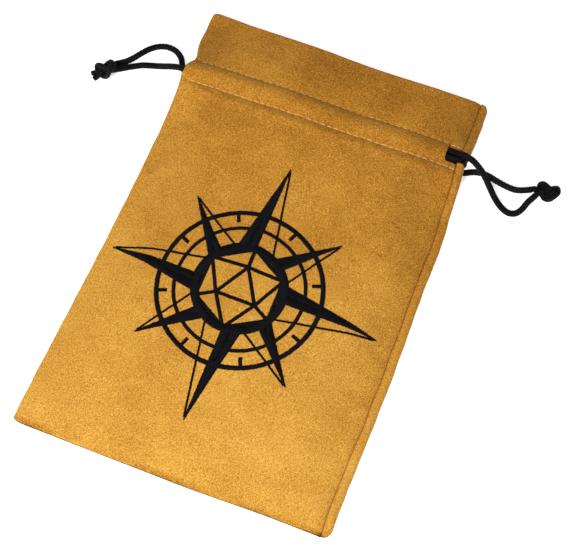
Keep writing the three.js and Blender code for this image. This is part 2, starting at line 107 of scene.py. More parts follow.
class Shader:
    """A node material under construction."""

    def __init__(self, name, sockets):
        self.material = bpy.data.materials.new(name)
        self.material.use_nodes = True
        self.tree = self.material.node_tree
        self.surface = self.tree.nodes["Principled BSDF"]
        for key, value in sockets.items():
            self.surface.inputs[key].default_value = value
        self.place = self.node("ShaderNodeTexCoord").outputs["Object"]
        self.uv = self.node("ShaderNodeTexCoord").outputs["UV"]

    def node(self, kind, **settings):
        made = self.tree.nodes.new(kind)
        for key, value in settings.items():
            setattr(made, key, value)
        return made

    def link(self, output, target):
        self.tree.links.new(output, target)

    def scaled(self, source, scale):
        mapping = self.node("ShaderNodeMapping")
        mapping.inputs["Scale"].default_value = scale
        self.link(source, mapping.inputs["Vector"])
        return mapping.outputs["Vector"]

    def noise(self, source, scale, detail=4.0, roughness=0.55, distortion=0.0):
        made = self.node("ShaderNodeTexNoise")
        made.inputs["Scale"].default_value = scale
        made.inputs["Detail"].default_value = detail
        made.inputs["Roughness"].default_value = roughness
        made.inputs["Distortion"].default_value = distortion
        self.link(source, made.inputs["Vector"])
        return made.outputs["Fac"]

    def ramp(self, source, stops):
        made = self.node("ShaderNodeValToRGB")
        elements = made.color_ramp.elements
        while len(elements) < len(stops):
            elements.new(0.5)
        for element, (position, colour) in zip(elements, stops):
            element.position = position
            element.color = (*colour, 1.0)
        self.link(source, made.inputs["Fac"])
        return made.outputs["Color"]

    def spread(self, source, low, high, to_low, to_high):
        made = self.node("ShaderNodeMapRange")
        for key, value in (("From Min", low), ("From Max", high), ("To Min", to_low), ("To Max", to_high)):
            made.inputs[key].default_value = value
        self.link(source, made.inputs["Value"])
        return made.outputs["Result"]

    def maths(self, kind, first, second):
        made = self.node("ShaderNodeMath", operation=kind)
        for socket, value in zip(made.inputs, (first, second)):
            if isinstance(value, (int, float)):
                socket.default_value = value
            else:
                self.link(value, socket)
        return made.outputs["Value"]

    def multiply(self, factor, base, shade):
        """The base colour, multiplied by a fixed shade where the factor is 1."""
        made = self.node("ShaderNodeMix", data_type="RGBA", blend_type="MULTIPLY")
        self.link(factor, made.inputs["Factor"])
        self.link(base, made.inputs["A"])
        made.inputs["B"].default_value = (*shade, 1.0)
        return made.outputs["Result"]

    def weighted(self, *terms):
        """Sum of (output, weight) terms."""
        total = 0.0
        for source, weight in terms:
            total = self.maths("ADD", total, self.maths("MULTIPLY", source, weight))
        return total

    def bump(self, height, distance, strength, under=None):
        made = self.node("ShaderNodeBump")
        made.inputs["Strength"].default_value = strength
        made.inputs["Distance"].default_value = distance
        self.link(height, made.inputs["Height"])
        if under is not None:
            self.link(under, made.inputs["Normal"])
        return made.outputs["Normal"]

    def finish(self, colour, normal, roughness=None):
        self.link(colour, self.surface.inputs["Base Color"])
        self.link(normal, self.surface.inputs["Normal"])
        if roughness is not None:
            self.link(roughness, self.surface.inputs["Roughness"])
        return self.material


SUEDE_STOPS = [
    (0.0, (0.170, 0.060, 0.005)), (0.25, (0.310, 0.124, 0.011)), (0.5, (0.455, 0.205, 0.024)),
    (0.75, (0.590, 0.300, 0.045)), (1.0, (0.720, 0.410, 0.085)),
]
SUEDE_SURFACE = {
    "Roughness": 0.95, "Specular IOR Level": 0.12, "Sheen Weight": 0.12, "Sheen Roughness": 0.4,
    "Sheen Tint": (1.0, 0.72, 0.36, 1.0),
}
PATTERN_WEIGHTS = (0.44, 0.28, 1.05, 1.45)  # brushed, smudge, grain, speck
# Colour multiplied in for the painted shadow line along the bottom edge.
PAINTED_SHADOW_COLOUR = (0.20, 0.20, 0.22)


def suede(name, mouth_tone, bottom_tone):
    """Brushed microfibre: a fine directionless nap and brushed places, with painted shade: a tone that
    deepens upwards, towards the mouth, and a dark painted shadow along the foot of the bottom edge.
    """
    shader = Shader(name, SUEDE_SURFACE)
    place = shader.place
    brushed = shader.noise(place, 34.0, detail=2.0, roughness=0.5)
    smudge = shader.noise(shader.scaled(place, (0.7, 1.0, 1.0)), 120.0, detail=3.0, distortion=0.4)
    grain = shader.noise(place, 1450.0, detail=3.0, roughness=0.65)
    speck = shader.noise(place, 2900.0, detail=2.0, roughness=0.6)
    split = shader.node("ShaderNodeSeparateXYZ")
    shader.link(place, split.inputs["Vector"])

    def painted_edge_shade(y_range, z_range, most):
        """Mask for painted shade: 0 on the cloth, rising to the most at the foot of the bottom edge."""
        near = shader.spread(split.outputs["Y"], *y_range, 0.0, 1.0)
        low = shader.spread(split.outputs["Z"], *z_range, 0.0, most)
        return shader.maths("MULTIPLY", near, low)

    # Painted shade: the tone deepens upwards across the bag, darkest at the mouth, standing in for the
    # light falling off.
    slant = shader.maths("ADD", split.outputs["Y"], shader.maths("MULTIPLY", split.outputs["X"], 0.22))
    tone = shader.spread(slant, 0.095, -0.055, mouth_tone, bottom_tone)
    # Painted shade: darkens the foot of the bottom edge, where it meets the floor.
    tone = shader.maths("SUBTRACT", tone, painted_edge_shade((-0.0965, -0.0985), (0.0034, 0.0014), 0.7))
    for source, weight in zip((brushed, smudge, grain, speck), PATTERN_WEIGHTS):
        centred = shader.maths("SUBTRACT", source, 0.5)
        tone = shader.maths("ADD", tone, shader.maths("MULTIPLY", centred, weight))
    # Painted shadow: a dark line along the bottom edge where it meets the floor, multiplied into the
    # colour.
    seam = painted_edge_shade((-0.0970, -0.0982), (0.0024, 0.0017), 1.0)
    colour = shader.multiply(seam, shader.ramp(tone, SUEDE_STOPS), PAINTED_SHADOW_COLOUR)
    fibres = shader.bump(speck, 0.00010, 0.5)
    pile = shader.bump(grain, 0.00022, 0.6, under=fibres)
    normal = shader.bump(smudge, 0.0006, 0.35, under=pile)
    roughness = shader.spread(grain, 0.3, 0.7, 0.88, 1.0)
    return shader.finish(colour, normal, roughness)


def thread_finish(name, dark, light, roughness, sheen, specular):
    """Twisted thread: UV.x counts millimetres along it and UV.y goes once round it."""
    sockets = {
        "Roughness": roughness, "Specular IOR Level": specular, "Sheen Weight": sheen,
        "Sheen Roughness": 0.35,
    }
    shader = Shader(name, sockets)
    wave = shader.node("ShaderNodeTexWave", wave_type="BANDS", bands_direction="DIAGONAL")
    wave.inputs["Scale"].default_value = 1.0
    wave.inputs["Distortion"].default_value = 0.6
    shader.link(shader.scaled(shader.uv, (2.4, 1.0, 1.0)), wave.inputs["Vector"])
    patches = shader.noise(shader.place, 240.0, detail=3.0)
    blend = shader.weighted((wave.outputs["Fac"], 0.5), (patches, 0.5))
    colour = shader.ramp(blend, [(0.25, dark), (0.8, light)])
    normal = shader.bump(wave.outputs["Fac"], 0.00006, 0.5)
    rough = shader.spread(patches, 0.3, 0.7, roughness - 0.06, roughness + 0.08)
    return shader.finish(colour, normal, rough)


# Tones of the cord; the lightest stop is painted highlight on the carrier tops.
BRAID_TONES_AND_HIGHLIGHT = [
    (0.30, (0.0004, 0.0004, 0.0005)), (0.52, (0.0015, 0.0015, 0.0018)), (0.66, (0.018, 0.018, 0.020)),
]


def braid_finish(name):
    """Round braided cord: the carriers are in the mesh, and their yarns and fuzz are here, with a painted
    highlight on the carrier tops.
    """
    shader = Shader(name, {"Roughness": 0.55, "Specular IOR Level": 0.08})
    split = shader.node("ShaderNodeSeparateXYZ")
    shader.link(shader.uv, split.inputs["Vector"])
    round_it = shader.maths("MULTIPLY", split.outputs["Y"], 2.0 * math.pi * BRAID_CARRIERS)
    along = shader.maths("MULTIPLY", split.outputs["X"], 2.0 * math.pi / BRAID_REPEAT)
    one_way = shader.maths("COSINE", shader.maths("ADD", round_it, along), 0.0)
    other_way = shader.maths("COSINE", shader.maths("SUBTRACT", round_it, along), 0.0)
    yarn = shader.maths("MAXIMUM", one_way, other_way)
    fuzz = shader.noise(shader.place, 2600.0, detail=3.0)
    wear = shader.noise(shader.place, 160.0, detail=2.0)
    # The yarn term lightens the colour on the carrier tops: painted highlight. Fuzz and wear vary the tone
    # at random.
    blend = shader.weighted((fuzz, 0.35), (wear, 0.35), (yarn, 0.22))
    colour = shader.ramp(blend, BRAID_TONES_AND_HIGHLIGHT)
    fine = shader.bump(yarn, 0.00007, 0.6)
    normal = shader.bump(fuzz, 0.00005, 0.4, under=fine)
    roughness = shader.spread(wear, 0.3, 0.7, 0.5, 0.68)
    return shader.finish(colour, normal, roughness)


CLOTH_OUTSIDE = suede("suede_cloth", 0.27, 0.66)
# The inside copy is the same suede with darker tones: painted shade for the pieces inside the bag.
INSIDE_CLOTH_SHADED = suede("suede_inside_painted_shade", 0.18, 0.5)
SEWING = thread_finish("sewing_thread", (0.42, 0.21, 0.05), (0.82, 0.54, 0.22), 0.6, 0.1, 0.35)
# The embroidery's lighter tone is a painted highlight, a speckle standing in for the satin's sheen.
EMBROIDERY = thread_finish(
    "embroidery_thread", (0.0008, 0.0008, 0.0012), (0.008, 0.008, 0.012), 0.5, 0.0, 0.08,
)
BRAID = braid_finish("braided_cord")

# ---- Small geometry tools ----


def smooth(low, high, value):
    u = np.clip((np.asarray(value, float) - low) / (high - low), 0.0, 1.0)
    return u * u * (3.0 - 2.0 * u)


def make_object(name, points, faces, material, uvs=None):
    """A smooth-shaded mesh from points in millimetres; uvs are per corner, in face order."""
    mesh = bpy.data.meshes.new(name)
    mesh.from_pydata((np.asarray(points, float) * MM).tolist(), [], faces)
    if uvs is not None:
        layer = mesh.uv_layers.new(name="UVMap")
        layer.data.foreach_set("uv", np.asarray(uvs, float).ravel())
    mesh.materials.append(material)
    mesh.polygons.foreach_set("use_smooth", [len(face) < 5 for face in faces])
    mesh.update()
    made = bpy.data.objects.new(name, mesh)
    bpy.context.scene.collection.objects.link(made)
    return made


def place_on(piece, body, slot, *nodes):
    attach(piece, body)
    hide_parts(*nodes)


def between(a, b, at_a, at_b, t):
    """The straight-line value at t of what is a at at_a and b at at_b."""
    return (at_b - t) / (at_b - at_a) * a + (t - at_a) / (at_b - at_a) * b


def catmull_rom(points, step):
    """Centripetal Catmull-Rom through the points, resampled at an even step."""
    points = np.asarray(points, float)
    padded = np.vstack([2 * points[0] - points[1], points, 2 * points[-1] - points[-2]])
    dense = []
    for p0, p1, p2, p3 in zip(padded, padded[1:], padded[2:], padded[3:]):
        t0 = 0.0
        t1 = t0 + math.sqrt(np.linalg.norm(p1 - p0))
        t2 = t1 + math.sqrt(np.linalg.norm(p2 - p1))
        t3 = t2 + math.sqrt(np.linalg.norm(p3 - p2))
        for t in np.linspace(t1, t2, 24, endpoint=False):
            a1 = between(p0, p1, t0, t1, t)
            a2 = between(p1, p2, t1, t2, t)
            a3 = between(p2, p3, t2, t3, t)
            b1 = between(a1, a2, t0, t2, t)
            b2 = between(a2, a3, t1, t3, t)
            dense.append(between(b1, b2, t1, t2, t))
    dense.append(points[-1])
    return resample(np.array(dense), step)


def resample(path, step):
    gaps = np.linalg.norm(np.diff(path, axis=0), axis=1)
    run = np.concatenate([[0.0], np.cumsum(gaps)])
    count = max(2, int(round(run[-1] / step)) + 1)
    wanted = np.linspace(0.0, run[-1], count)
    return np.column_stack([np.interp(wanted, run, path[:, k]) for k in range(3)])


def frames_along(path):
    """Two cross vectors that don't twist, at each point of a path."""
    tangent = np.gradient(path, axis=0)
    tangent /= np.linalg.norm(tangent, axis=1)[:, None]
    start = np.array([0.0, 0.0, 1.0])
    if abs(tangent[0] @ start) > 0.9:
        start = np.array([0.0, 1.0, 0.0])
    side = np.zeros_like(path)
    side[0] = start - tangent[0] * (start @ tangent[0])
    side[0] /= np.linalg.norm(side[0])
    for i in range(1, len(path)):
        carried = side[i - 1] - tangent[i] * (side[i - 1] @ tangent[i])
        side[i] = carried / np.linalg.norm(carried)
    return side, np.cross(tangent, side)


def tube_parts(path, radii, sides, relief=None):
    """Points, faces and uvs of a closed tube. radii is one radius or one for each point."""
    side, other = frames_along(path)
    run = np.concatenate([[0.0], np.cumsum(np.linalg.norm(np.diff(path, axis=0), axis=1))])
    angle = 2.0 * math.pi * np.arange(sides) / sides
    radii = np.broadcast_to(radii, len(path))[:, None]
    if relief is not None:
        radii = radii * relief(run[:, None], angle[None, :])
    radii = np.broadcast_to(radii, (len(path), sides))
    ring = side[:, None, :] * np.cos(angle)[None, :, None]
    ring = ring + other[:, None, :] * np.sin(angle)[None, :, None]
    points = (path[:, None, :] + ring * radii[:, :, None]).reshape(-1, 3)
    faces = []
    uvs = []
    for i in range(len(path) - 1):
        near = i * sides
        far = near + sides
        for j in range(sides):
            k = (j + 1) % sides
            faces.append([near + j, near + k, far + k, far + j])
            low, high = j / sides, (j + 1) / sides
            uvs += [(run[i], low), (run[i], high), (run[i + 1], high), (run[i + 1], low)]
    last = (len(path) - 1) * sides
    faces.append(list(reversed(range(sides))))
    faces.append([last + j for j in range(sides)])
    uvs += [(run[0], 0.5)] * sides + [(run[-1], 0.5)] * sides
    return points, faces, uvs


def join_parts(parts):
    """Several (points, faces, uvs) as one."""
    points = []
    faces = []
    uvs = []
    offset = 0
    for part_points, part_faces, part_uvs in parts:
        points.append(part_points)
        faces += [[offset + index for index in face] for face in part_faces]
        uvs += part_uvs
        offset += len(part_points)
    return np.vstack(points), faces, uvs


def slab(top, bottom):
    """Points and faces of a closed slab between two grids of points, with its faces outwards."""
    if np.cross(top[1, 0] - top[0, 0], top[0, 1] - top[0, 0])[2] < 0.0:
        top = top.swapaxes(0, 1)
        bottom = bottom.swapaxes(0, 1)
    rows, columns = top.shape[:2]
    size = rows * columns
    faces = []
    for i in range(rows - 1):
        for j in range(columns - 1):
            a = i * columns + j
            faces.append([a, a + columns, a + columns + 1, a + 1])
            faces.append([size + a, size + a + 1, size + a + columns + 1, size + a + columns])
    rim = list(range(columns)) + [i * columns + columns - 1 for i in range(1, rows)]
    rim += [(rows - 1) * columns + j for j in range(columns - 2, -1, -1)]
    rim += [i * columns for i in range(rows - 2, 0, -1)]
    for a, b in zip(rim, rim[1:] + rim[:1]):
        faces.append([a, b, size + b, size + a])
    return np.vstack([top.reshape(-1, 3), bottom.reshape(-1, 3)]), faces


# ---- Drawstrings ----

FRONT_CORD_Z = 11.1
BACK_CORD_Z = 2.2
HIGH_CORD_Y = 66.4
LOW_CORD_Y = 63.4
FREE_START = 57.7
TAIL_INNER = 38.0
BEND_START = 48.0
BEND_CENTRE = 58.1
BEND_TURNS = 8
CORD_STEP = 0.2
CORD_SIDES = 36

LEFT_FRONT_ROUTE = [
    (-0.0577, 0.0634, 0.0111), (-0.0615, 0.0634, 0.0111), (-0.0653, 0.0634, 0.0107),
    (-0.0690, 0.0636, 0.0089), (-0.0724, 0.0642, 0.0063), (-0.0757, 0.0649, 0.0037),
    (-0.0792, 0.0651, 0.0019), (-0.0830, 0.0641, 0.0015), (-0.0864, 0.0621, 0.0016),
    (-0.0890, 0.0599, 0.0023), (-0.0909, 0.0580, 0.0031),
]
LEFT_BACK_ROUTE = [
    (-0.0577, 0.0664, 0.0022), (-0.0613, 0.0664, 0.0020), (-0.0644, 0.0674, 0.0017),
    (-0.0668, 0.0704, 0.0015), (-0.0690, 0.0739, 0.0014), (-0.0726, 0.0763, 0.0014),
    (-0.0767, 0.0768, 0.0014), (-0.0804, 0.0756, 0.0014), (-0.0836, 0.0730, 0.0014),
    (-0.0862, 0.0695, 0.0014), (-0.0882, 0.0662, 0.0015), (-0.0903, 0.0630, 0.0021),
    (-0.0929, 0.0602, 0.0030),
]
RIGHT_FRONT_ROUTE = [
    (0.0577, 0.0664, 0.0111), (0.0615, 0.0664, 0.0111), (0.0650, 0.0663, 0.0102),
    (0.0678, 0.0660, 0.0080), (0.0702, 0.0654, 0.0057), (0.0726, 0.0641, 0.0038),
    (0.0754, 0.0616, 0.0022), (0.0792, 0.0576, 0.0014), (0.0828, 0.0545, 0.0014),
    (0.0863, 0.0531, 0.0014), (0.0892, 0.0540, 0.0014), (0.0911, 0.0568, 0.0015),
    (0.0922, 0.0599, 0.0021), (0.0936, 0.0624, 0.0029),
]
RIGHT_BACK_ROUTE = [
    (0.0577, 0.0634, 0.0022), (0.0610, 0.0634, 0.0019), (0.0640, 0.0643, 0.0016),
    (0.0669, 0.0659, 0.0014), (0.0702, 0.0668, 0.0014), (0.0736, 0.0666, 0.0014),
    (0.0774, 0.0656, 0.0014), (0.0816, 0.0647, 0.0014), (0.0860, 0.0644, 0.0015),
    (0.0895, 0.0651, 0.0023), (0.0926, 0.0663, 0.0031),
]


def braid_relief(run, angle):
    """Carriers of a round braid, running both ways round it and passing over each other."""
    lay = 2.0 * math.pi / BRAID_REPEAT
    clockwise = np.cos(BRAID_CARRIERS * angle + lay * run)
    counter = np.cos(BRAID_CARRIERS * angle - lay * run)
    return 0.985 + 0.06 * np.maximum(clockwise, counter)


def cord_piece(name, path):
    points, faces, uvs = tube_parts(path, CORD / 2, CORD_SIDES, braid_relief)
    return make_object(name, points, faces, BRAID, uvs)


def run_points(side, front_y, back_y):
    """The fixed length of a cord round the end of the channel that faces away from its knot."""
    far = -side
    middle = (FRONT_CORD_Z + BACK_CORD_Z) / 2
    radius = (FRONT_CORD_Z - BACK_CORD_Z) / 2
    points = [(far * (TAIL_INNER + GAP), front_y, FRONT_CORD_Z), (far * BEND_START, front_y, FRONT_CORD_Z)]
    for i in range(BEND_TURNS + 1):
        angle = math.pi * (0.5 - i / BEND_TURNS)
        along = BEND_CENTRE + radius * math.cos(angle)
        shift = (back_y - front_y) * float(smooth(0, BEND_TURNS, i))
        points.append((far * along, front_y + shift, middle + radius * math.sin(angle)))
    points += [(far * BEND_START, back_y, BACK_CORD_Z), (far * (TAIL_INNER + GAP), back_y, BACK_CORD_Z)]
    return points


KNOT_THICK = 2.2
KNOT_STEP = 0.34
KNOT_SPREAD = 0.86
KNOT_ROPE = 1.12
KNOT_PULLS = 700
KNOT_PASSES = 16
KNOT_SOFTNESS = 0.12
KNOT_PUSH = 0.6
KNOT_TAUT = 1.05
KNOT_SQUEEZE = 0.72
KNOT_START = -3.4
KNOT_END = 3.3
KNOT_JOIN = 0.9


def tied_centreline():
    """Centreline of a pulled-tight overhand knot along X, worked out as a rope being pulled.

    It starts as a loose overhand knot. Its ends are drawn apart in small steps, while the
    rope keeps its length and no two parts of it come closer than its thickness.
    """
    t = np.linspace(-2.2, 2.2, 400)
    loose = np.column_stack([0.30 * (t**5 - 10 * t), 1.15 * (t**3 - 3 * t), 1.15 * (t**4 - 4 * t**2)]) * 1.9
    loose[:, 2] -= 0.5 * loose[:, 2].min()
    far = np.array([[loose[-1, 0] + 14.0, 0.0, 0.0]])
    size = KNOT_THICK * KNOT_STEP
    rope = resample(np.vstack([-far, loose, far]), size)
    rest = size * (len(rope) - 1)
    near = int(math.ceil(1.7 / KNOT_STEP))
    first, second = np.triu_indices(len(rope), near)
    pull = np.array([0.08, 0.0, 0.0])
    for _ in range(KNOT_PULLS):
        rope[0] -= pull
        rope[-1] += pull
        ends = rope[[0, -1]].copy()
        for _ in range(KNOT_PASSES):
            rope[1:-1] += KNOT_SOFTNESS * (0.5 * (rope[:-2] + rope[2:]) - rope[1:-1])
            for start in (0, 1):
                low = np.arange(start, len(rope) - 1, 2)
                gap = rope[low + 1] - rope[low]
                length = np.linalg.norm(gap, axis=1)[:, None]
                move = gap * (0.5 * (length - size) / length)
                rope[low] += move
                rope[low + 1] -= move
            gap = rope[second] - rope[first]
            length = np.linalg.norm(gap, axis=1)
            tight = length < KNOT_THICK
            push = gap[tight] * (0.5 * (KNOT_THICK - length[tight]) / length[tight])[:, None]
            np.add.at(rope, second[tight], KNOT_PUSH * push)
            np.add.at(rope, first[tight], -KNOT_PUSH * push)
            rope[[0, -1]] = ends
        if np.linalg.norm(np.diff(rope, axis=0), axis=1).sum() > KNOT_TAUT * rest:
            break
    bend = np.linalg.norm(rope[:-2] - 2 * rope[1:-1] + rope[2:], axis=1)
    busy = np.flatnonzero(bend > 0.12 * size)
    middle = 0.5 * (rope[busy[0]] + rope[busy[-1]])
    return rope - middle


KNOT_CENTRELINE = catmull_rom(KNOT_SQUEEZE * tied_centreline(), 0.3)


def knot_paths(turn, roll, centre, ends, strand_ends):
    """The two cord ends through the knot, each starting where its free strand stops."""
    spine = KNOT_CENTRELINE
    spine = spine[(spine[:, 0] > KNOT_START) & (spine[:, 0] < KNOT_END + ends)]
    _, other = frames_along(spine)
    rolled = Matrix.Rotation(math.radians(roll), 3, "X")
    turned = np.array(Matrix.Rotation(math.radians(turn), 3, "Z") @ rolled)
    fan = 0.25 * np.clip(spine[:, 0] - 4.0, 0.0, None)[:, None]
    strands = []
    for sign in (-1, 1):
        strand = spine + sign * (KNOT_SPREAD + fan) * other
        strands.append((strand @ turned.T + np.array(centre))[4:])
    lowest = min(strand[:, 2].min() for strand in strands) - CORD / 2
    joined = []
    for (place, heading), strand in zip(strand_ends, strands):
        lifted = strand + np.array([0.0, 0.0, 0.05 - lowest])
        lifted[:, 2] = np.maximum(lifted[:, 2], CORD / 2 + 0.02)
        lead = np.array([place, place + KNOT_JOIN * heading])
        joined.append(catmull_rom(np.vstack([lead, lifted[:-2:3], lifted[-1:]]), 0.25))
    return joined


CORDS = {
    "left": dict(
        side=-1, front_y=LOW_CORD_Y, back_y=HIGH_CORD_Y, front=LEFT_FRONT_ROUTE, back=LEFT_BACK_ROUTE,
        knot=(-95.2, 55.0, 3.35), turn=208.0, roll=240.0, ends=3.6, front_length=0.039, back_length=0.049,
    ),
    "right": dict(
        side=1, front_y=HIGH_CORD_Y, back_y=LOW_CORD_Y, front=RIGHT_FRONT_ROUTE, back=RIGHT_BACK_ROUTE,
        knot=(97.9, 66.2, 3.35), turn=6.0, roll=120.0, ends=0.3, front_length=0.050, back_length=0.037,
    ),
}


def make_drawstring(name, cord):
    body = f"{name}_cord"
    routes = {layer: catmull_rom(np.array(cord[layer]) / MM, CORD_STEP) for layer in ("front", "back")}
    strand_ends = []
    for path in (routes["front"], routes["back"]):
        heading = path[-1] - path[-4]
        strand_ends.append((path[-1], heading / np.linalg.norm(heading)))
    tied = knot_paths(cord["turn"], cord["roll"], cord["knot"], cord["ends"], strand_ends)
    parts = []
    for path in tied:
        narrowing = CORD / 2 + (KNOT_ROPE - CORD / 2) * smooth(0.0, 14.0, np.arange(len(path)))
        parts.append(tube_parts(path, narrowing, CORD_SIDES, braid_relief))
    points, faces, uvs = join_parts(parts)
    knot = make_object(f"{name}_knot", points, faces, BRAID, uvs)
    place_on(knot, body, "cord", f"{name}_cord_knot")
    for layer, y, z in (("front", cord["front_y"], FRONT_CORD_Z), ("back", cord["back_y"], BACK_CORD_Z)):
        path = routes[layer]
        strand = cord_piece(f"{name}_{layer}_cord", path)
        place_on(strand, body, "cord", f"{name}_cord_{layer}_strand")
        tail_ends = [(cord["side"] * FREE_START, y, z), (-cord["side"] * TAIL_INNER, y, z)]
        tail = cord_piece(f"{name}_{layer}_cord_tail", resample(np.array(tail_ends), 0.26))
        place_on(tail, body, "cord", f"{name}_cord_{layer}_tail")
    run = catmull_rom(run_points(cord["side"], cord["front_y"], cord["back_y"]), CORD_STEP)
    bend = cord_piece(f"{name}_cord_far_bend", run)
    place_on(bend, "bag", "cord", f"{name}_cord_run")


for cord_name, cord_facts in CORDS.items():
    make_drawstring(cord_name, cord_facts)

# ---- How the cloth lies ----

BOTTOM_HEIGHT = 2.7
MIDDLE = [
    (-98.6, BOTTOM_HEIGHT), (-97.5, 3.1), (-95, 3.9), (-88, 5.3), (-75, 7.2), (-60, 8.6), (-42, 9.5),
    (0, 9.6), (30, 9.9), (45, 10.9), (52, 11.3), (58, 11.1), (71, 11.7), (76, 11.9), (99, 9.9),
]
SIDE = [
    (-98.6, BOTTOM_HEIGHT), (-97.5, 3.0), (-95, 3.5), (-89, 4.2), (40, 4.2), (50, 7.0), (58.5, 10.75),
    (70.2, 10.95), (76, 8.9), (84, 6.5), (92, 5.0),
]
TABLE_STEP = 0.25
TABLE_Y = np.arange(-110.0, 110.0, TABLE_STEP)


def softened(stations, reach):
    """The straight-line profile through the stations, rounded over the given reach."""
    ys, zs = zip(*stations)
    table = np.interp(TABLE_Y, ys, zs)
    half = int(3 * reach / TABLE_STEP)
    offsets = np.arange(-half, half + 1) * TABLE_STEP
    weights = np.exp(-0.5 * (offsets / reach) ** 2)
    padded = np.pad(table, half, mode="edge")
    return np.convolve(padded, weights / weights.sum(), mode="valid")


MIDDLE_TABLE = softened(MIDDLE, 1.6)
SIDE_TABLE = softened(SIDE, 0.9)


def lens(x):
    """1 over the bag's middle, 0 at its side edges."""
    return 1.0 - smooth(PLATEAU, HALF_WIDTH - FOLD_DEPTH, np.abs(x))


def channel_crown(y):
    """0 at the two rows of stitching, 1 along the cords."""
    u = np.clip((y - LOWER_ROW) / (UPPER_ROW - LOWER_ROW), 0.0, 1.0)
    power = np.where(u > 0.5, 1.8, 2.3)
    return 1.0 - np.abs(2.0 * u - 1.0) ** power


def waves(x, y, seed, sizes):
    """A smooth seeded surface: a sum of sine waves, each (count, shortest, longest, height)."""
    draw = np.random.default_rng(seed)
    total = np.zeros(np.broadcast(x, y).shape)
    for count, shortest, longest, height in sizes:
        for _ in range(count):
            length = draw.uniform(shortest, longest)
            heading = draw.uniform(0.0, math.pi)
            phase = draw.uniform(0.0, 2.0 * math.pi)
            across = x * math.cos(heading) + y * math.sin(heading)
            total = total + height * np.sin(2.0 * math.pi * across / length + phase)
    return total


def row_reach(y, reach):
    nearest = np.minimum(np.abs(y - LOWER_ROW), np.abs(y - UPPER_ROW))
    return np.exp(-nearest / reach)


def gathers(x, y, seed):
    """Short pleats that the stitching draws into the cloth, square to the rows."""
    draw = np.random.default_rng(seed)
    total = np.zeros(np.broadcast(x, y).shape)
    for length in (5.3, 7.1, 9.7, 13.9):
        phase = draw.uniform(0.0, 2.0 * math.pi)
        drift = 1.3 * np.sin(2.0 * math.pi * y / draw.uniform(17.0, 29.0) + phase)
        total = total + np.sin(2.0 * math.pi * (x + drift) / length + phase)
    return total * 0.25


def seam_groove(x, y):
    """The right side seam lies in a soft, uneven furrow, with small tucks running off it."""
    x = np.asarray(x, float)
    pull = 0.75 + 0.25 * np.sin(0.41 * y + 1.3) * np.sin(0.173 * y) + 0.18 * np.sin(0.93 * y)
    furrow = 0.85 * pull * np.exp(-(((x - SEAM_X) / 1.5) ** 2))
    tucks = waves(np.full_like(x, 0.0), y + 0.35 * (x - SEAM_X), 71, [(7, 5.0, 13.0, 0.05)])
    return furrow - tucks * np.exp(-(((x - SEAM_X + 1.0) / 4.5) ** 2))


def row_dip(x, y):
    """The stitched rows pull the cloth down, and each needle hole a little more."""
    dip = np.zeros(np.broadcast(x, y).shape)
    for row, depth in ((LOWER_ROW, 1.0), (UPPER_ROW, 0.5)):
        near = depth * np.exp(-(((y - row) / 0.75) ** 2))
        hole = 0.5 + 0.5 * np.cos(2.0 * math.pi * (x + ROW_END) / STITCH_PITCH)
        dip = dip + near * (0.34 + 0.14 * hole)
    return dip


RIDGE = 0.8
RIDGE_BELOW_ROW = 3.6


def relief(x, y, seed):
    """Everything small that the lying cloth does on top of its main shape."""
    calm = 1.0 - 0.75 * np.exp(-(((np.abs(x) - HALF_WIDTH) / 4.0) ** 2))
    broad = waves(x, y, seed, [(5, 38.0, 80.0, 0.16), (7, 16.0, 34.0, 0.055), (6, 7.0, 13.0, 0.02)])
    drawn = gathers(x, y, seed + 1) * (0.36 * row_reach(y, 5.0) + 0.06 * row_reach(y, 18.0))
    ridge = np.exp(-(((y - LOWER_ROW + RIDGE_BELOW_ROW) / 2.0) ** 2))
    broad = broad + RIDGE * ridge * (1.0 + 0.7 * gathers(x, y, seed + 2))
    channel = smooth(LOWER_ROW - 1.0, LOWER_ROW + 2.0, y) * smooth(UPPER_ROW + 1.0, UPPER_ROW - 2.0, y)
    return calm * (broad + drawn * (1.0 - 0.55 * channel))


def front_height(x, y):
    """Outer face of the front panel."""
    x = np.asarray(x, float)
    y = np.asarray(y, float)
    crown = CHANNEL_RISE * channel_crown(y)
    middle = np.interp(y, TABLE_Y, MIDDLE_TABLE)
    side = np.interp(y, TABLE_Y, SIDE_TABLE)
    crown = crown * np.where(x > RIGHT_FRONT_MOUTH + 0.1, 0.0, 1.0)
    lying = side + (middle - side) * lens(x) + crown + relief(x, y, 5)
    return lying - row_dip(x, y) - seam_groove(x, y)


def pinch(x):
    return smooth(PINCH_START, FACING_HALF_WIDTH, np.abs(x))


def channel_flat(y):
    """1 where the channel is at its full depth, 0 outside its two rows of stitching."""
    return np.minimum(smooth(59.7, 61.3, y), smooth(69.4, 67.8, y))


FACING_SIDE = 8.2
FACING_IN_CHANNEL = 9.5
FACING_PINCH = 2.2


def front_facing_middle(x, y):
    """Middle of the layer turned in behind the front panel."""
    side = np.minimum(np.interp(y, TABLE_Y, SIDE_TABLE), FACING_SIDE)
    middle = np.interp(y, TABLE_Y, MIDDLE_TABLE)
    open_height = side + (middle - side) * lens(x) - CLOTH - GAP
    pinched = FACING_IN_CHANNEL - FACING_PINCH * pinch(x)
    flat = channel_flat(y)
    height = open_height + (pinched - open_height) * flat
    return height - row_dip(x, y) + relief(x, y, 5) * (1.0 - flat) - CLOTH / 2


def back_lift(y):
    nearest = np.minimum(np.abs(y - LOWER_ROW), np.abs(y - UPPER_ROW))
    return 0.75 * (1.0 - smooth(0.0, 1.5, nearest))


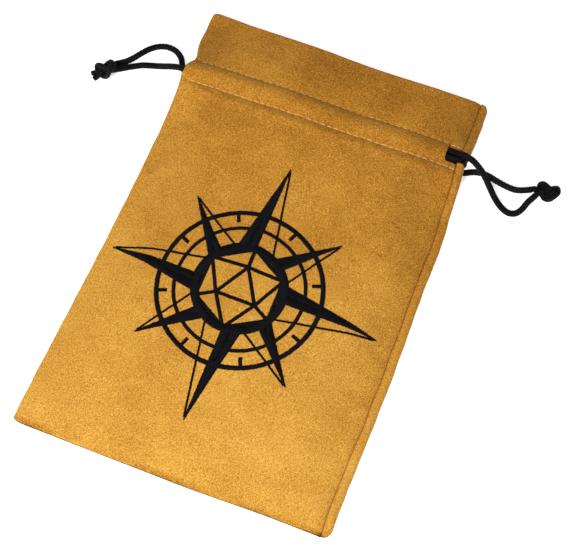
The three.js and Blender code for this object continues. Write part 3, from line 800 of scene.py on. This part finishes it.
def back_underside(x, y):
    """Outer face of the back panel: flat on the surface, lifted a little where it is sewn."""
    swell = np.maximum(0.0, waves(x, y, 31, [(4, 30.0, 60.0, 0.06), (5, 9.0, 18.0, 0.03)]))
    drawn = np.maximum(0.0, gathers(x, y, 33)) * 0.25 * row_reach(y, 4.0)
    return back_lift(y) + (swell + drawn) * (1.0 - 0.9 * channel_flat(y))


def back_facing_middle(x, y):
    """Middle of the layer turned in over the back panel."""
    rise = 2.9 + 2.0 * pinch(x)
    return CLOTH * 1.5 + GAP + back_lift(y) + rise * channel_flat(y)


EDGE_LEFT = [
    (-100, -0.4), (-75, 0.1), (-50, 0.7), (-20, 1.4), (10, 1.6), (40, 1.3), (56, 1.3), (62, 0.9), (65, 0.9),
    (69, 3.0), (73, 3.2), (78, 1.2), (84, 0.3), (100, -0.1),
]
EDGE_RIGHT = [
    (-100, -0.6), (-89, -0.7), (-32, 1.0), (-5, 0.8), (7, 0.7), (26, 1.5), (47, 0.3), (64, -0.5), (80, 0.5),
    (100, 0.2),
]
LEFT_TABLE = softened(EDGE_LEFT, 1.8)
RIGHT_TABLE = softened(EDGE_RIGHT, 4.0)
MOUTH_SLANT = 1.1
MOUTH_SAG = 0.8
BOTTOM_LIFT = 1.0
CORNER = 4.0


def settle(x, y):
    """Where a point of the flat pattern ends up in plan, with the sides and corners relaxed."""
    left = np.interp(y, TABLE_Y, LEFT_TABLE) * smooth(-20.0, -HALF_WIDTH, x)
    right = np.interp(y, TABLE_Y, RIGHT_TABLE) * smooth(20.0, HALF_WIDTH, x)
    slant = MOUTH_SLANT * (1.0 + x / HALF_WIDTH) * smooth(72.0, HALF_LENGTH, y)
    slant = slant + MOUTH_SAG * np.exp(-(((x - 10.0) / 26.0) ** 2)) * smooth(78.0, HALF_LENGTH, y)
    slant = slant - BOTTOM_LIFT * smooth(0.0, 45.0, x) * smooth(-70.0, -HALF_LENGTH, y)
    wander = 0.22 * np.sin(0.21 * y + 0.6) * np.sin(0.083 * y) * np.exp(-(((x - SEAM_X) / 3.0) ** 2))
    reach = np.clip(np.abs(x) - (HALF_WIDTH - CORNER), 0.0, CORNER)
    cut = CORNER - np.sqrt(np.maximum(CORNER**2 - reach**2, 0.0))
    upper = np.where(x > 0, 0.9, 0.45) * cut * smooth(84.0, HALF_LENGTH, y)
    lower = np.where(x > 0, 0.95, 0.35) * cut * smooth(-88.0, -HALF_LENGTH, y)
    tucks = 0.09 * np.sin(0.47 * y + 0.8) * np.sin(0.11 * y + 1.0) * smooth(52.0, HALF_WIDTH, np.abs(x))
    return x + left + right + wander + tucks, y - slant - upper + lower


def on_cloth(x, y, height):
    """Points at a height over the surface, where their place on the flat pattern ends up."""
    settled_x, settled_y = settle(x, y)
    return np.stack([settled_x, settled_y, height], axis=-1)


def mouth_y(x, y, dip):
    return y - dip * lens(x) * smooth(DIP_START, HALF_LENGTH, y)


# ---- Panels: each is one cut of cloth, turned in at the mouth ----

CURL = 0.7
EDGE_TURN = 0.9
INNER_TURN = 1.3
UNDER_END = -61.2
THINNEST_EDGE = 1.4
CHANNEL_END_PLAY = 1.1
FOLD_STEPS = 12
MOUTH_PLAY = 0.35
FINE = 0.75


def even(start, stop, step):
    return np.linspace(start, stop, max(2, int(round(abs(stop - start) / step)) + 1))


BODY_ROWS = np.concatenate([
    even(-98.6, -92.0, 0.6), even(-91.0, 50.0, 1.1), even(51.0, 57.0, 0.8), even(57.5, 60.2, 0.3),
    even(60.5, 61.5, 0.35), even(61.8, 68.0, 0.4), even(68.3, 72.0, 0.3), even(72.8, 98.8, 1.0),
])
FACING_ROWS = np.concatenate([even(98.0, 72.0, 1.3), even(71.5, 58.0, 0.5), even(57.2, FACING_LOW, 0.8)])


def turned_edge(step_count):
    """Offsets (outwards, inwards) of an edge that rolls in by a quarter turn."""
    angles = np.linspace(0.0, math.pi / 2, step_count)
    return [(CURL * math.sin(a), CURL * (1.0 - math.cos(a))) for a in angles]


def sheet_grid(columns, rows, dip, facing_middle):
    """Grid of points in the middle of the cloth.

    columns(y) gives the section's x, z and inward direction (nx, nz) at the flat height y.
    Rows: rolled bottom edge, the panel, the fold at the mouth, then the facing.
    """
    grid = []
    roll = turned_edge(5)
    x, z, nx, nz = columns(rows[0])
    for outwards, inwards in [(CURL, CURL + CLOTH / 2)] + roll[:0:-1]:
        low = np.full_like(x, rows[0] - outwards)
        grid.append(np.column_stack([x + nx * inwards, low, z + nz * inwards]))
    for y in rows:
        x, z, nx, nz = columns(y)
        grid.append(np.column_stack([x, mouth_y(x, np.full_like(x, y), dip), z]))
    fold = (CLOTH + GAP) / 2
    for turn in np.linspace(0.0, math.pi, 7)[1:]:
        inwards = fold * (1.0 - math.cos(turn))
        y = rows[-1] + fold * math.sin(turn)
        top = mouth_y(x, np.full_like(x, rows[-1]), dip) + y - rows[-1]
        grid.append(np.column_stack([x + nx * inwards, top, z + nz * inwards]))
    for row in FACING_ROWS:
        x, _, _, _ = columns(row)
        y = np.full_like(x, row)
        grid.append(np.column_stack([x, mouth_y(x, y, dip), facing_middle(x, y)]))
    return np.array(grid)


def edge_height(y):
    """Height of the bag's side edge, with the swell over the cords."""
    return float(np.interp(y, TABLE_Y, SIDE_TABLE)) + CHANNEL_RISE * float(channel_crown(np.array(y)))


def stretch(x, z, nx, nz):
    """Part of a section: its x and z, and the direction from there to the bag's inside."""
    x = np.asarray(x, float)
    return np.array([x, z, np.broadcast_to(nx, x.shape), np.broadcast_to(nz, x.shape)])


def side_fold(side, height, first_turn):
    """The half turn of cloth round a side edge, from first_turn degrees to its opposite."""
    half = CLOTH / 2
    turns = np.radians(np.linspace(first_turn, -first_turn, FOLD_STEPS + 1))
    x = side * ((HALF_WIDTH - FOLD_DEPTH) + (FOLD_DEPTH - half) * np.cos(turns))
    z = height / 2 + (height / 2 - half) * np.sin(turns)
    return stretch(x, z, -side * np.cos(turns), -np.sin(turns))


def front_columns(y):
    """Front panel section, from the left seam underneath, round the left edge, to the right seam."""
    half = CLOTH / 2
    height = edge_height(y)
    seam = -SEAM_X
    inner = min(INNER_TURN, height / 2 - half)
    under_x = [seam + CURL, seam + CURL, seam + CURL * 0.7, seam, UNDER_END]
    under_z = [half + inner, half + CURL, half + CURL * 0.3, half, half]
    crest_z = front_height(TOP_X, np.full_like(TOP_X, y)) - half
    ease = smooth(-(HALF_WIDTH - FOLD_DEPTH), -55.0, TOP_X)
    crest_z = (height - half) * (1.0 - ease) + crest_z * ease
    top = crest_z[-1]
    drop = min(CURL + EDGE_TURN, top - THINNEST_EDGE)
    return np.hstack([
        stretch(under_x, under_z, 0.0, 1.0),
        side_fold(-1, height, -90.0),
        stretch(TOP_X, crest_z, 0.0, -1.0),
        stretch(
            [SEAM_X - CURL * 0.3, SEAM_X, SEAM_X], [top - CURL * 0.3, top - CURL, top - drop], 0.0, -1.0,
        ),
    ])


def back_columns(y):
    """Back panel section, from the right seam on the front, round the right edge, and underneath."""
    half = CLOTH / 2
    height = edge_height(y)
    start = SEAM_X + CLOTH
    top = height - half
    drop = min(CURL + EDGE_TURN, top - THINNEST_EDGE)
    floor_z = back_underside(FLOOR_X, np.full_like(FLOOR_X, y)) * smooth(62.1, 58.0, np.abs(FLOOR_X)) + half
    end = GAP - SEAM_X
    inner = min(INNER_TURN, height / 2 - half)
    return np.hstack([
        stretch([start, start, start + CURL * 0.3], [top - drop, top - CURL, top - CURL * 0.3], 0.0, -1.0),
        side_fold(1, height, 90.0),
        stretch(FLOOR_X, floor_z, 0.0, 1.0),
        stretch([end - CURL * 0.3, end, end], [half + CURL * 0.3, half + CURL, half + inner], 0.0, 1.0),
    ])


TOP_X = np.concatenate([
    even(-61.6, RIGHT_FRONT_MOUTH, FINE), even(RIGHT_FRONT_MOUTH + FINE, SEAM_X - CURL, FINE),
])
FLOOR_X = even(61.4, GAP - SEAM_X - CURL, 1.5)


def solid_sheet(name, grid, keep, material):
    """A closed piece of cloth of even thickness on the kept squares of a grid."""
    rows, columns = grid.shape[:2]
    points = on_cloth(grid[..., 0], grid[..., 1], grid[..., 2]).reshape(-1, 3)
    corner = np.arange(rows * columns).reshape(rows, columns)
    quads = np.stack([corner[:-1, :-1], corner[:-1, 1:], corner[1:, 1:], corner[1:, :-1]], axis=-1)
    quads = quads[keep]
    used, compact = np.unique(quads, return_inverse=True)
    flat = make_object(name + "_flat", points[used], compact.reshape(-1, 4).tolist(), material)
    thick = flat.modifiers.new("thickness", "SOLIDIFY")
    thick.thickness = CLOTH * MM
    thick.offset = 0.0
    thick.use_even_offset = False
    graph = bpy.context.evaluated_depsgraph_get()
    mesh = bpy.data.meshes.new_from_object(flat.evaluated_get(graph))
    mesh.name = name
    bpy.data.objects.remove(flat)
    made = bpy.data.objects.new(name, mesh)
    bpy.context.scene.collection.objects.link(made)
    return made


def middle_of(grid, axis):
    values = grid[..., axis]
    return 0.25 * (values[:-1, :-1] + values[:-1, 1:] + values[1:, 1:] + values[1:, :-1])


def make_panel(name, columns, dip, facing_middle, mouths, nodes):
    grid = sheet_grid(columns, BODY_ROWS, dip, facing_middle)
    x = middle_of(grid, 0)
    y = middle_of(grid, 1)
    facing = np.arange(len(grid) - 1)[:, None] >= len(grid) - len(FACING_ROWS) - 1
    column = np.arange(grid.shape[1] - 1)[None, :]
    facing_width = (np.abs(x) < FACING_HALF_WIDTH - 0.6) & (column > 3) & (column < grid.shape[1] - 4)
    between_lips = (y > LOW_CORD_Y - CORD / 2 - MOUTH_PLAY) & (y < HIGH_CORD_Y + CORD / 2 + MOUTH_PLAY)
    keep = np.where(facing, facing_width, ~(between_lips & mouths(x, column)))
    piece = solid_sheet(name, grid, keep, CLOTH_OUTSIDE)
    place_on(piece, "bag", "cloth", *nodes)
    return piece


def front_mouths(x, column):
    return (x > RIGHT_FRONT_MOUTH) | (column < 4 + FOLD_STEPS)


def back_mouths(x, column):
    return (x < GAP - SEAM_X + CHANNEL_END_PLAY) | (column < 3 + FOLD_STEPS)


FRONT = make_panel(
    "front_panel_cloth", front_columns, FRONT_MOUTH_DIP, front_facing_middle, front_mouths,
    ("front_panel", "front_facing"),
)
BACK = make_panel(
    "back_panel_cloth", back_columns, BACK_MOUTH_DIP, back_facing_middle, back_mouths,
    ("back_panel", "back_facing"),
)

# ---- Stitching ----

THREAD = 0.42


def stitch(start, end, height_at, up):
    """One visible stitch: a short arch of thread that dives into the cloth at both ends."""
    u = np.linspace(0.0, 1.0, 9)
    x = start[0] + (end[0] - start[0]) * u
    y = start[1] + (end[1] - start[1]) * u
    arch = THREAD * (0.62 * (1.0 - np.abs(2.0 * u - 1.0) ** 2.6) - 0.30)
    path = on_cloth(x, y, height_at(x, y) + up * arch)
    swell = THREAD / 2 * (0.82 + 0.22 * np.sin(np.pi * u))
    return tube_parts(path, swell, 8)


def stitch_row(name, y, height_at, up):
    parts = []
    for i in range(int(round(2.0 * ROW_END / STITCH_PITCH))):
        middle = -ROW_END + (i + 0.5) * STITCH_PITCH
        lean = RNG.normal(0.0, 0.06)
        half = STITCH_PITCH * RNG.uniform(0.37, 0.42)
        start = (middle - half, y - lean + 0.05)
        end = (middle + half, y + lean - 0.05)
        parts.append(stitch(start, end, height_at, up))
    points, faces, uvs = join_parts(parts)
    piece = make_object(f"{name}_stitches", points, faces, SEWING, uvs)
    place_on(piece, "bag", "sewing_thread", f"{name}_stitch_row")


for row_name, row_y in (("lower", LOWER_ROW), ("upper", UPPER_ROW)):
    stitch_row(f"front_{row_name}", row_y, front_height, 1.0)
    stitch_row(f"back_{row_name}", row_y, back_underside, -1.0)

# ---- Embroidered badge ----

BADGE_AT = np.array([-2.8, -21.2])
RING_OUTER = 33.6
RING_WIDTH = 1.8
INNER_RING_OUTER = 26.6
INNER_RING_WIDTH = 1.4
HUB_OUTER = 19.3
HUB_WIDTH = 3.4
LONG_POINT = 56.0
SHORT_POINT = 44.0
POINT_BASE = 17.5
LONG_HALF_BASE = 7.4
SHORT_HALF_BASE = 5.8
POINT_TIP = 0.35
OUTLINE_WIDTH = 0.75
LINE_WIDTH = 1.4
DIE_RADIUS = 17.4
DIE_FACE_RADIUS = 9.4
TICK_LENGTH = 3.2
STRAND = 0.34
STRAND_PITCH = 0.30
LONGEST_STITCH = 3.4
SHORTEST_STITCH = 0.25
PADDING = 0.08
PADDING_STEP = 1.2
PADDING_INSET = 0.06
RING_LIFT = 0.04
POINT_LIFT = 0.06
HUB_LIFT = 0.12


def polar(radius, degrees):
    angle = math.radians(degrees)
    return np.array([radius * math.cos(angle), radius * math.sin(angle)])


def satin(left_line, right_line, length, underlay=0.0):
    """Satin stitch: threads laid side by side from one line to the other.

    Wide places are split into shorter stitches, as a machine does.
    """
    parts = [padding(left_line, right_line, length, underlay)]
    count = max(2, int(length / STRAND_PITCH))
    for i in range(count + 1):
        u = i / count
        left = left_line(u)
        right = right_line(u)
        width = float(np.linalg.norm(right - left))
        if width < SHORTEST_STITCH:
            continue
        skew = RNG.normal(0.0, 0.05, 2)
        pieces = max(1, int(round(width / LONGEST_STITCH)))
        cuts = np.linspace(0.0, 1.0, pieces + 1)
        if pieces > 1:
            cuts[1:-1] += RNG.uniform(-0.16, 0.16, pieces - 1) / pieces
        for low, high in zip(cuts[:-1], cuts[1:]):
            start = left + (right - left) * low + (skew if low == 0.0 else 0.0)
            end = left + (right - left) * high + (skew if high == 1.0 else 0.0)
            parts.append(satin_thread(start, end, underlay))
    return parts


def padding(left_line, right_line, length, underlay):
    """The layer of thread laid down first, which the satin stitches cover."""
    rows = max(2, int(length / PADDING_STEP)) + 1
    widest = max(float(np.linalg.norm(right_line(u) - left_line(u))) for u in (0.0, 0.5, 1.0))
    across = max(2, int(math.ceil(widest / PADDING_STEP)) + 1)
    shares = np.linspace(PADDING_INSET, 1.0 - PADDING_INSET, across)[:, None]
    flat = []
    for u in np.linspace(0.0, 1.0, rows):
        left = left_line(u)
        flat.append(left + (right_line(u) - left) * shares)
    flat = np.array(flat) + BADGE_AT
    x, y = flat[..., 0], flat[..., 1]
    height = front_height(x, y)
    points, faces = slab(on_cloth(x, y, height + PADDING + underlay), on_cloth(x, y, height - PADDING))
    uvs = [(0.0, 0.0)] * sum(len(face) for face in faces)
    return points, faces, uvs


def satin_thread(start, end, underlay):
    width = float(np.linalg.norm(end - start))
    u = np.linspace(0.0, 1.0, 4 if width < 1.6 else 6)
    x, y = (start + (end - start) * u[:, None] + BADGE_AT).T
    crown = min(0.30, 0.16 + 0.06 * width)
    lift = crown * (1.0 - np.abs(2.0 * u - 1.0) ** 2.4) + 0.02 + underlay
    return tube_parts(on_cloth(x, y, front_height(x, y) + lift), STRAND / 2, 5)


def bar_stitches(start, end, width):
    length = float(np.linalg.norm(end - start))
    along = (end - start) / length
    across = np.array([-along[1], along[0]]) * width / 2

    def line(side):
        return lambda u: start + (end - start) * u + side * across

    return satin(line(1), line(-1), length)


def ring_stitches(outer, width, lift):
    def line(radius):
        return lambda u: polar(radius, 360.0 * u)

    return satin(line(outer - width), line(outer), 2.0 * math.pi * outer, lift)


def star_point(degrees, length, half_base):
    """One point of the star: a filled half and the outline of the other half."""
    def turn(radius, offset):
        return polar(radius, degrees) + polar(offset, degrees + 90.0)

    span = length - POINT_BASE

    def axis(u):
        return turn(POINT_BASE + span * u, -POINT_TIP / 2)

    def edge(u):
        return turn(POINT_BASE + span * u - 0.8 * (1.0 - u), half_base * (1.0 - u) + POINT_TIP / 2)

    outline = bar_stitches(turn(POINT_BASE, -half_base), turn(length - 1.0, -POINT_TIP), OUTLINE_WIDTH)
    return outline + satin(axis, edge, span, POINT_LIFT)


def die_lines():
    """A twenty-faced die seen face-on, as lines: a hexagon, one face and the edges between."""
    corners = [polar(DIE_RADIUS, angle) for angle in (90, 150, 210, 270, 330, 30)]
    face = [polar(DIE_FACE_RADIUS, angle) for angle in (90, 210, 330)]
    parts = []
    for i, corner in enumerate(corners):
        parts += bar_stitches(corner, corners[(i + 1) % 6], LINE_WIDTH)
    for i, corner in enumerate(face):
        parts += bar_stitches(corner, face[(i + 1) % 3], LINE_WIDTH)
        for step in (0, 1, 5):
            parts += bar_stitches(corner, corners[(2 * i + step) % 6], LINE_WIDTH)
    return parts


def make_badge():
    parts = die_lines()
    tick_end = RING_OUTER - RING_WIDTH - TICK_LENGTH
    for i in range(8):
        degrees = 22.5 + 45.0 * i
        parts += bar_stitches(polar(RING_OUTER - 0.6, degrees), polar(tick_end, degrees), LINE_WIDTH)
    parts += ring_stitches(RING_OUTER, RING_WIDTH, RING_LIFT)
    parts += ring_stitches(INNER_RING_OUTER, INNER_RING_WIDTH, RING_LIFT)
    for i in range(4):
        parts += star_point(90.0 * i + 45.0, SHORT_POINT, SHORT_HALF_BASE)
        parts += star_point(90.0 * i, LONG_POINT, LONG_HALF_BASE)
    parts += ring_stitches(HUB_OUTER, HUB_WIDTH, HUB_LIFT)
    points, faces, uvs = join_parts(parts)
    badge = make_object("badge_embroidery", points, faces, EMBROIDERY, uvs)
    place_on(badge, "bag", "embroidery_thread", "embroidered_badge")


make_badge()

# ---- Inside: seam allowances and seam threads ----

ALLOWANCE_CLOTH = 0.56


def allowance(name, node, along_y):
    """The two raw edges turned in at a seam, slightly wavy."""
    low, high = (np.array(corner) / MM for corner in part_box(node))
    size = high - low
    steps = int(size[1 if along_y else 0] / 1.5)
    half = np.array([0.0, 0.0, ALLOWANCE_CLOTH / 2])
    parts = []
    for layer in (0, 1):
        z = low[2] + (0.25 + 0.5 * layer) * size[2]
        rows = []
        for i in range(steps + 1):
            u = i / steps
            ragged = 0.35 * math.sin(0.9 * i + layer) * (0.5 + 0.5 * math.sin(0.23 * i))
            lift = 0.08 * math.sin(0.31 * i + 2 * layer)
            ends = []
            for v in np.linspace(0.0, 1.0, 5):
                across = v + ragged * 0.06 * (1 - v)
                share = (across, u) if along_y else (u, across)
                ends.append((low[0] + size[0] * share[0], low[1] + size[1] * share[1], z + lift * (1 - v)))
            rows.append(ends)
        middle = np.array(rows)
        parts.append((*slab(middle + half, middle - half), []))
    points, faces, _ = join_parts(parts)
    piece = make_object(name, points, faces, INSIDE_CLOTH_SHADED)
    place_on(piece, "bag", "facing_cloth", node)


allowance("left_seam_edges", "left_seam_allowance", True)
allowance("right_seam_edges", "right_seam_allowance", True)
allowance("bottom_seam_edges", "bottom_seam_allowance", False)

for thread_node in ("left_seam_thread", "right_seam_thread", "bottom_seam_thread"):
    thread_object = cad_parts[thread_node]
    thread_object.data.materials.clear()
    thread_object.data.materials.append(SEWING)

# ---- Floor, lights and world ----


def make_floor():
    far = 3000.0
    low = -0.05
    points = [(-far, -far, low), (far, -far, low), (far, far, low), (-far, far, low)]
    sockets = {
        "Roughness": 0.9, "Specular IOR Level": 0.1, "Emission Color": (1.0, 1.0, 1.0, 1.0),
        "Emission Strength": 0.6,
    }
    shader = Shader("pale_floor", sockets)
    tone = shader.noise(shader.place, 3.0, detail=1.0)
    colour = shader.ramp(tone, [(0.3, (0.90, 0.90, 0.90)), (0.7, (0.92, 0.92, 0.92))])
    normal = shader.bump(tone, 0.00001, 0.05)
    floor = make_object("floor", points, [[0, 1, 2, 3]], shader.finish(colour, normal))


def area_light(name, place, aim, size, power, tone):
    data = bpy.data.lights.new(name, "AREA")
    data.shape = "DISK"
    data.size = size
    data.energy = power
    data.color = tone
    light = bpy.data.objects.new(name, data)
    bpy.context.scene.collection.objects.link(light)
    light.location = place
    light.rotation_euler = (Vector(aim) - Vector(place)).to_track_quat("-Z", "Y").to_euler()


def make_light():
    world = bpy.data.worlds.new("studio")
    world.use_nodes = True
    sky = world.node_tree.nodes["Background"]
    sky.inputs["Color"].default_value = (1.0, 1.0, 1.0, 1.0)
    sky.inputs["Strength"].default_value = 0.24
    bpy.context.scene.world = world
    area_light("high_key", (0.35, 0.50, 0.95), (0.0, 0.0, 0.0), 0.40, 3.0, (1.0, 0.985, 0.96))
    area_light("near_key", (-0.18, -0.78, 0.76), (0.0, 0.0, 0.0), 0.46, 15.0, (1.0, 0.99, 0.975))


make_floor()
make_light()
bpy.context.scene.view_settings.view_transform = "Standard"
